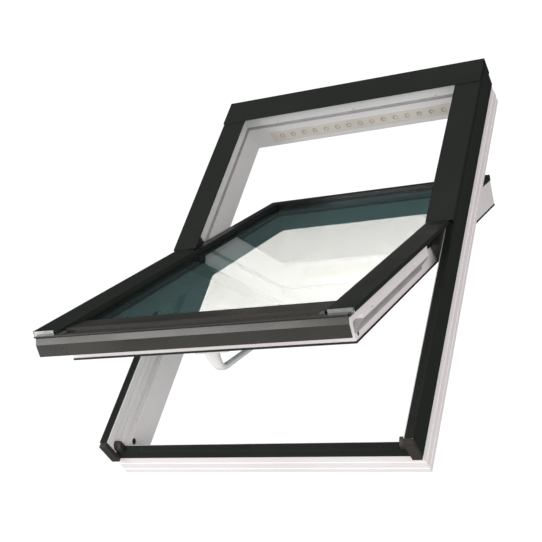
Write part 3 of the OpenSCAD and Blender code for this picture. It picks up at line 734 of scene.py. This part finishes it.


# ---- Floor, light and camera -----------------------------------------------
# A pale floor below the lowest swing of the sash, with a painted glow where it is seen through
# the glass and a painted dark reflection, soft light from large panels, and a camera above the
# lower right of the window.

FLOOR_DROP = 0.62
floor_z = PIVOT.z - FLOOR_DROP
bpy.ops.mesh.primitive_plane_add(size=60, location=(0, 0, floor_z))
floor = bpy.context.object
floor.name = "studio_floor"
paper, nodes, links, shader = finish("floor_with_painted_glow_and_reflection", 0.9, specular=0.0)
shader.inputs["Base Color"].default_value = (0.55, 0.55, 0.55, 1)
# Painted glow: seen directly the floor is an even white, but seen through the glass it glows
# up to ten times as bright and is warmed, undoing the glass's tint so that it reads white.
path = nodes.new("ShaderNodeLightPath")
backdrop_and_painted_glow = nodes.new("ShaderNodeEmission")
backdrop_and_painted_glow_strength = nodes.new("ShaderNodeMapRange")
backdrop_and_painted_glow_strength.inputs["From Max"].default_value = 2.0
backdrop_and_painted_glow_strength.inputs["To Min"].default_value = 1.05
backdrop_and_painted_glow_strength.inputs["To Max"].default_value = 10.0
links.new(path.outputs["Transparent Depth"], backdrop_and_painted_glow_strength.inputs["Value"])
links.new(backdrop_and_painted_glow_strength.outputs["Result"], backdrop_and_painted_glow.inputs["Strength"])
painted_tint_undo = blend_colours(nodes, links, spread(nodes, links, path.outputs["Transparent Depth"],
                                           0, 1, 0, 2), (1, 1, 1), (1.0, 0.550, 0.535))
links.new(painted_tint_undo, backdrop_and_painted_glow.inputs["Color"])
# Painted reflection: in reflections the floor is a dark grey glow.
dark = nodes.new("ShaderNodeEmission")
dark.inputs["Color"].default_value = (0.05, 0.06, 0.06, 1)
painted_dark_mirror = nodes.new("ShaderNodeMixShader")
links.new(path.outputs["Is Glossy Ray"], painted_dark_mirror.inputs["Fac"])
links.new(shader.outputs["BSDF"], painted_dark_mirror.inputs[1])
links.new(dark.outputs["Emission"], painted_dark_mirror.inputs[2])
pale = nodes.new("ShaderNodeMixShader")
links.new(path.outputs["Is Camera Ray"], pale.inputs["Fac"])
links.new(painted_dark_mirror.outputs["Shader"], pale.inputs[1])
links.new(backdrop_and_painted_glow.outputs["Emission"], pale.inputs[2])
links.new(pale.outputs["Shader"], nodes["Material Output"].inputs["Surface"])
floor.data.materials.append(paper)

world = bpy.data.worlds.new("studio")
bpy.context.scene.world = world
world.use_nodes = True
nodes, links = world.node_tree.nodes, world.node_tree.links
# Painted reflection: the world is white to the camera and dark grey in reflections; to
# everything else it is a warm grey light.
path = nodes.new("ShaderNodeLightPath")
sky = blend_colours(nodes, links, path.outputs["Is Glossy Ray"], (0.75, 0.715, 0.715),
                    (0.16, 0.17, 0.17))
links.new(blend_colours(nodes, links, path.outputs["Is Camera Ray"], sky, (1, 1, 1)),
          nodes["Background"].inputs["Color"])


def soft_panel(name, place, aim, size, power):
    """A large soft light that faces a point."""
    lamp = bpy.data.lights.new(name, "AREA")
    lamp.shape = "RECTANGLE"
    lamp.size, lamp.size_y = size
    lamp.energy = power
    panel = bpy.data.objects.new(name, lamp)
    bpy.context.scene.collection.objects.link(panel)
    panel.location = place
    panel.rotation_mode = "QUATERNION"
    toward = Vector(aim) - Vector(place)
    panel.rotation_quaternion = toward.to_track_quat("-Z", "Y")
    return panel


soft_panel("key_panel", (2.6, -2.4, 2.2), (0, 0, 0), (2.5, 2.5), 56)
soft_panel("top_panel", (-1.7, -1.95, 2.5), (0, -0.6, 0.4), (1.5, 1.3), 42)
soft_panel("left_panel", (-3.0, -1.8, 0.6), (0, 0, 0), (2.0, 2.0), 40)

eye = bpy.data.cameras.new("camera")
eye.lens = 71.83
eye.sensor_width = 36
camera = bpy.data.objects.new("camera", eye)
bpy.context.scene.collection.objects.link(camera)
right = Vector((0.88331, 0.24465, -0.39988))
up = Vector((0.08543, 0.75472, 0.65047))
back = Vector((0.46093, -0.60873, 0.64575))
turn = Matrix((right, up, back)).transposed().to_4x4()
camera.matrix_world = Matrix.Translation((1.1732, -1.73595, 1.8752)) @ turn
eye.clip_start, eye.clip_end = 0.05, 100
bpy.context.scene.camera = camera
bpy.context.scene.view_settings.view_transform = "Standard"
